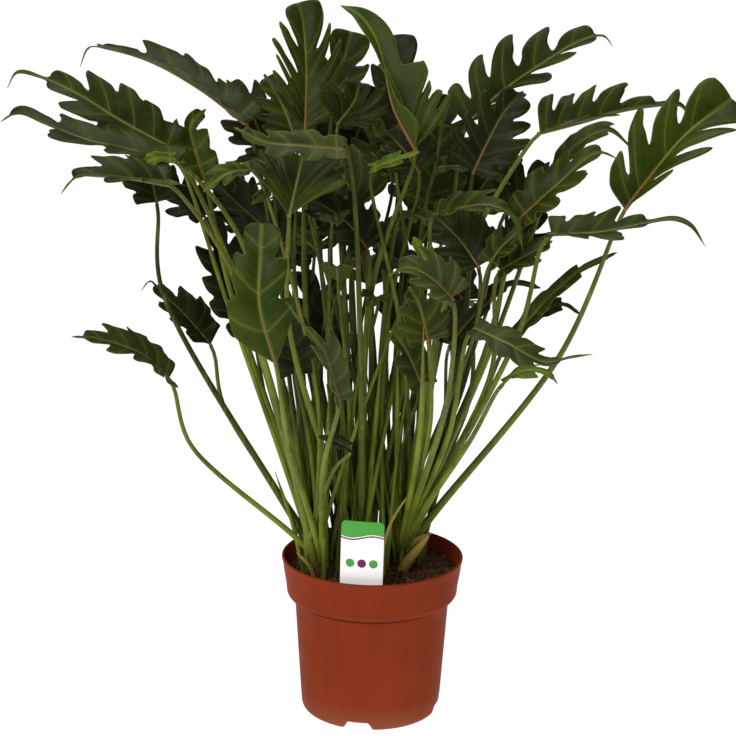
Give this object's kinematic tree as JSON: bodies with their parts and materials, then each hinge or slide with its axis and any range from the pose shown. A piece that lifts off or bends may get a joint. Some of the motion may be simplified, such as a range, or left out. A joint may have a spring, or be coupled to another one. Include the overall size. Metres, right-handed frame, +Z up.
{
  "type": "potted philodendron",
  "caption": "Bushy potted houseplant with deeply lobed leaves on long stalks in a terracotta-coloured plastic nursery pot.",
  "frame": {"origin": "on the pot's axis, on the surface that the pot stands on", "axes": "+Z up, -Y towards the front of the plant, where the plant tag stands, +X to the right of the front view"},
  "size_m": [0.7318, 0.5, 0.7453],
  "materials": {
    "pot_plastic": "smooth satin injection-moulded plastic, terracotta colour",
    "potting_soil": "dark crumbly peat with fibres and small pale grains",
    "tag_card": "thin glossy white plastic with a green and a purple area",
    "stalk": "smooth green stalks, yellow-green to brown-red, slightly glossy",
    "leaf": "dark green glossy leaf with pale yellow-green veins",
    "young_leaf": "bright green soft young leaf"
  },
  "bodies": {
    "root": {"leaf_back_1": "leaf", "leaf_back_2": "leaf", "leaf_back_3": "leaf", "leaf_back_4": "leaf", "leaf_back_5": "leaf", "leaf_back_6": "leaf", "leaf_back_7": "leaf", "leaf_back_centre": "leaf", "leaf_back_left_dark": "leaf", "leaf_back_middle_dark": "leaf", "leaf_back_right_dark": "leaf", "leaf_centre_bright": "leaf", "leaf_centre_dark": "leaf", "leaf_centre_left": "leaf", "leaf_centre_right": "leaf", "leaf_centre_small": "leaf", "leaf_centre_young": "young_leaf", "leaf_front_bright": "leaf", "leaf_front_left": "leaf", "leaf_front_low": "leaf", "leaf_front_right": "leaf", "leaf_front_shade": "leaf", "leaf_left_behind": "leaf", "leaf_left_curl": "leaf", "leaf_left_grey": "leaf", "leaf_left_inner": "leaf", "leaf_left_low_bright": "leaf", "leaf_left_low_dark": "leaf", "leaf_left_lower": "leaf", "leaf_left_middle": "leaf", "leaf_left_top": "leaf", "leaf_left_upper": "leaf", "leaf_left_wedge": "leaf", "leaf_right_arch": "leaf", "leaf_right_broad": "leaf", "leaf_right_deep": "leaf", "leaf_right_far": "leaf", "leaf_right_grey": "leaf", "leaf_right_hook": "leaf", "leaf_right_inner_low": "leaf", "leaf_right_level": "leaf", "leaf_right_light": "leaf", "leaf_right_ribbon": "leaf", "leaf_right_ribbon_low": "leaf", "leaf_right_small": "young_leaf", "leaf_right_strap": "leaf", "leaf_right_top": "leaf", "leaf_right_upper": "leaf", "leaf_top_behind": "leaf", "leaf_top_curl": "leaf", "leaf_top_left": "leaf", "leaf_top_left_behind": "leaf", "leaf_top_right": "leaf", "plant_tag": "tag_card", "pot": "pot_plastic", "soil": "potting_soil", "stems_left": "stalk", "stems_middle": "stalk", "stems_right": "stalk"}
  },
  "joints": []
}
